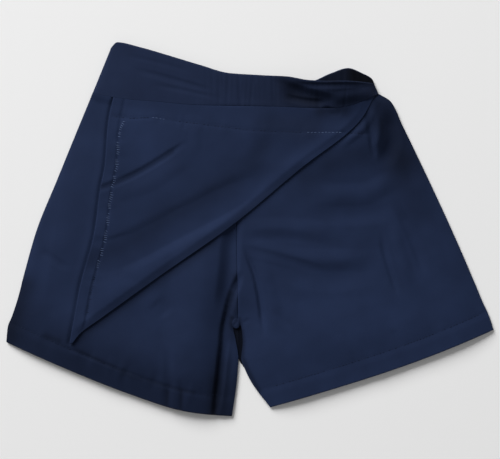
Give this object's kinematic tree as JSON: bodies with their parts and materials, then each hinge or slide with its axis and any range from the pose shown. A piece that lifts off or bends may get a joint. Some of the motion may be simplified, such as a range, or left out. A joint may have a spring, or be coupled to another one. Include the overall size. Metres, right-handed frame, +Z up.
{
  "type": "skort laid flat",
  "caption": "Navy skort laid flat with its front up: shorts with an elastic waistband and a pointed wrap flap that hangs across the front.",
  "frame": {"origin": "centre of the underside of the whole garment's box, on the surface that it lies on", "axes": "+Z up from the surface, towards the garment's front; +Y towards the waist; +X towards the wearer's left"},
  "size_m": [0.5372, 0.4117, 0.026],
  "materials": {
    "cloth": "soft matt twill",
    "band": "soft matt twill over elastic",
    "thread": "soft sewing thread"
  },
  "bodies": {
    "root": {"front_panel_right": "cloth", "front_panel_left": "cloth", "back_panel_right": "cloth", "back_panel_left": "cloth", "wrap_flap": "cloth", "waistband_front": "band", "waistband_back": "band"}
  },
  "joints": []
}
